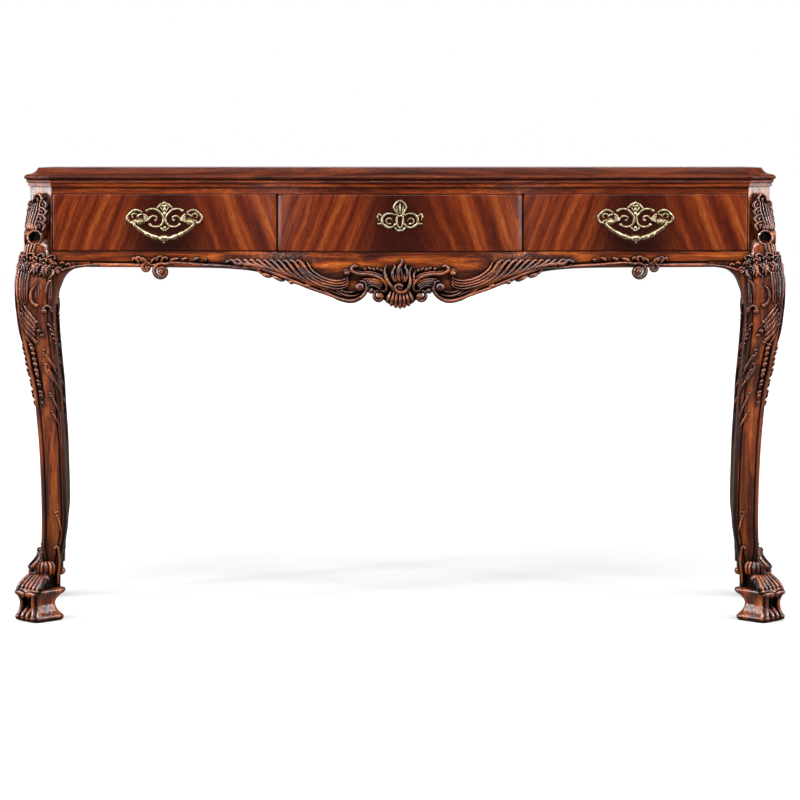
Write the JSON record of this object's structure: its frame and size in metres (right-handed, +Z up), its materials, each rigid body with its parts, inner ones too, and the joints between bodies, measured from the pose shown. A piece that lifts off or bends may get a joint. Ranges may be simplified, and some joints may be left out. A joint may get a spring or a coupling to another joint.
{
  "type": "pier table",
  "caption": "Long narrow mahogany pier table with serpentine front, frieze drawers with brass bail pulls, carved apron and carved cabriole legs on scroll feet.",
  "frame": {"origin": "on the floor under the middle of the table's box", "axes": "+X to the right seen from the front, +Y to the back (wall side), +Z up"},
  "size_m": [1.5722, 0.44, 0.914],
  "materials": {
    "carved_mahogany": "polished red-brown with dark glaze in the hollows",
    "top_mahogany": "polished gloss",
    "flame_mahogany": "polished crotch veneer",
    "drawer_wood": "plain planed, unpolished",
    "antique_brass": "cast, antiqued, dark in the hollows",
    "lock_steel": "dull"
  },
  "bodies": {
    "carcass": {"apron_cartouche": "carved_mahogany", "apron_scroll_left": "carved_mahogany", "apron_scroll_right": "carved_mahogany", "apron_spray_left": "carved_mahogany", "apron_spray_right": "carved_mahogany", "back_rail": "carved_mahogany", "drawer_guides": "drawer_wood", "drawer_kickers": "drawer_wood", "drawer_runners": "drawer_wood", "drawer_stops": "drawer_wood", "front_apron": "carved_mahogany", "front_left_leg": "carved_mahogany", "front_right_leg": "carved_mahogany", "front_top_rail": "carved_mahogany", "left_partition": "drawer_wood", "left_side_rail": "carved_mahogany", "rear_corner_blocks": "drawer_wood", "rear_left_leg": "carved_mahogany", "rear_right_leg": "carved_mahogany", "right_partition": "drawer_wood", "right_side_rail": "carved_mahogany", "table_top": "top_mahogany", "top_moulding": "carved_mahogany", "top_screws": "lock_steel"},
    "left_drawer": {"left_drawer_back": "drawer_wood", "left_drawer_bottom": "drawer_wood", "left_drawer_front": "flame_mahogany", "left_drawer_left_side": "drawer_wood", "left_drawer_right_side": "drawer_wood", "left_pull_nuts": "lock_steel", "left_pull_plate": "antique_brass", "left_pull_posts": "antique_brass"},
    "centre_drawer": {"centre_drawer_back": "drawer_wood", "centre_drawer_bottom": "drawer_wood", "centre_drawer_front": "flame_mahogany", "centre_drawer_left_side": "drawer_wood", "centre_drawer_right_side": "drawer_wood", "escutcheon": "antique_brass", "escutcheon_pins": "antique_brass", "lock_case": "lock_steel", "lock_screws": "lock_steel"},
    "right_drawer": {"right_drawer_back": "drawer_wood", "right_drawer_bottom": "drawer_wood", "right_drawer_front": "flame_mahogany", "right_drawer_left_side": "drawer_wood", "right_drawer_right_side": "drawer_wood", "right_pull_nuts": "lock_steel", "right_pull_plate": "antique_brass", "right_pull_posts": "antique_brass"},
    "left_bail": {"left_bail": "antique_brass"},
    "right_bail": {"right_bail": "antique_brass"},
    "lock_bolt": {"lock_bolt": "lock_steel"}
  },
  "joints": [
    {"name": "left_drawer_slide", "type": "slide", "parent": "carcass", "child": "left_drawer", "axis": [0, -1, 0], "range_m": [0, 0.22]},
    {"name": "centre_drawer_slide", "type": "slide", "parent": "carcass", "child": "centre_drawer", "axis": [0, -1, 0], "range_m": [0, 0.24]},
    {"name": "right_drawer_slide", "type": "slide", "parent": "carcass", "child": "right_drawer", "axis": [0, -1, 0], "range_m": [0, 0.22]},
    {"name": "left_bail_swing", "type": "hinge", "parent": "left_drawer", "child": "left_bail", "pos_m": [-0.4715, -0.16526, 0.8058], "axis": [-1, 0, 0], "range_deg": [0, 95]},
    {"name": "right_bail_swing", "type": "hinge", "parent": "right_drawer", "child": "right_bail", "pos_m": [0.4715, -0.16526, 0.8058], "axis": [-1, 0, 0], "range_deg": [0, 95]},
    {"name": "lock_bolt_throw", "type": "slide", "parent": "centre_drawer", "child": "lock_bolt", "axis": [0, 0, 1], "range_m": [0, 0.008]}
  ]
}
